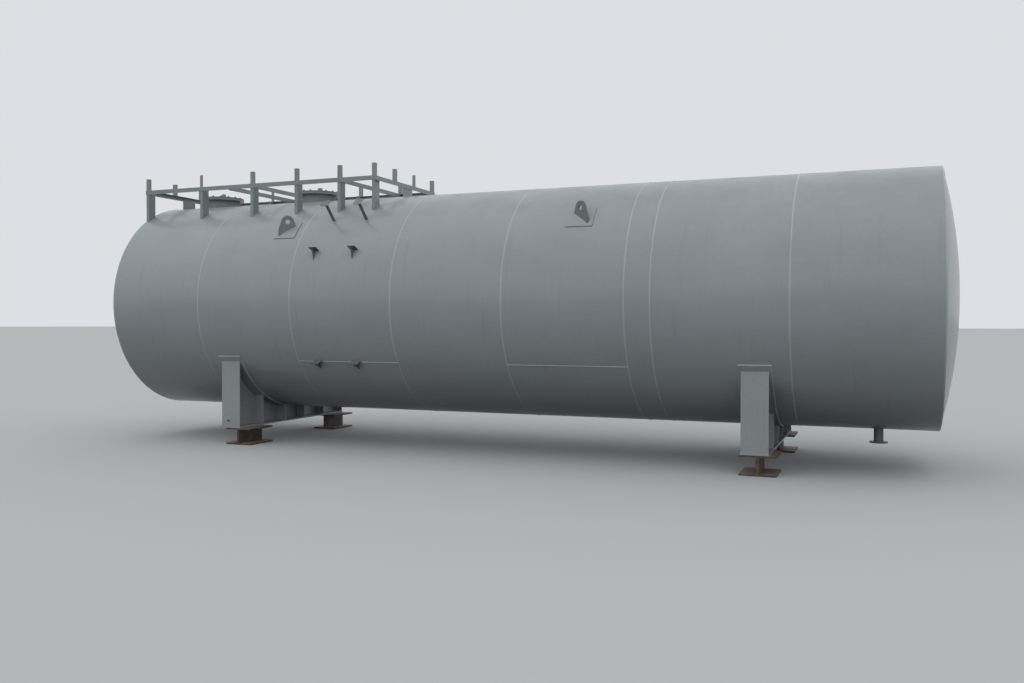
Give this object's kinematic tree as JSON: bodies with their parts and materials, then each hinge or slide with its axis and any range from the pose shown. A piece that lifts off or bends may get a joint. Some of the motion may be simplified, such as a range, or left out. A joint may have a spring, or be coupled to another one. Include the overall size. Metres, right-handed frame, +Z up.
{
  "type": "horizontal storage vessel on saddles",
  "caption": "Horizontal steel storage vessel with dished ends, on saddles and beam stubs, with lifting lugs, platform frame, manholes and a drain.",
  "frame": {"origin": "on the ground, under the middle of the vessel", "axes": "+X along the vessel towards the drain end, +Y to the rear away from the ladder side, +Z up"},
  "size_m": [11.2, 2.9998, 3.809],
  "materials": {
    "paint": "light grey semi-gloss enamel",
    "paint_shaded": "grey enamel, dusty",
    "rusty_steel": "rusty scaled steel",
    "bare_steel": "dull plated steel"
  },
  "bodies": {
    "root": {"shell_course_1": "paint", "shell_course_2": "paint", "shell_course_3": "paint", "shell_course_4": "paint", "shell_course_5": "paint", "shell_closing_course": "paint", "shell_course_7": "paint", "shell_course_8": "paint", "left_end_dish": "paint", "right_end_dish": "paint", "left_saddle_pad": "paint", "left_saddle_web": "paint", "left_saddle_front_plate": "paint", "left_saddle_rear_plate": "paint", "left_saddle_ribs": "paint", "left_saddle_base": "paint", "right_saddle_pad": "paint", "right_saddle_web": "paint", "right_saddle_front_plate": "paint", "right_saddle_rear_plate": "paint", "right_saddle_ribs": "paint", "right_saddle_base": "paint", "front_left_beam_stub": "rusty_steel", "front_right_beam_stub": "rusty_steel", "rear_left_beam_stub": "rusty_steel", "rear_right_beam_stub": "rusty_steel", "lug_pads": "paint", "front_left_lug": "paint_shaded", "front_right_lug": "paint_shaded", "rear_left_lug": "paint_shaded", "rear_right_lug": "paint_shaded", "ladder_top_arms": "paint_shaded", "ladder_middle_cleats": "paint_shaded", "ladder_bottom_cleats": "paint_shaded", "platform_front_beam": "paint", "platform_rear_beam": "paint", "platform_left_beam": "paint", "platform_right_beam": "paint", "platform_joists": "paint_shaded", "platform_front_legs": "paint", "platform_rear_legs": "paint", "platform_crown_legs": "paint", "platform_front_posts": "paint", "platform_rear_posts": "paint", "platform_end_posts": "paint", "manhole_1_neck": "paint", "manhole_1_cover": "paint_shaded", "manhole_2_neck": "paint", "manhole_2_cover": "paint_shaded", "drain_nozzle": "paint_shaded", "earthing_boss": "bare_steel"}
  },
  "joints": []
}
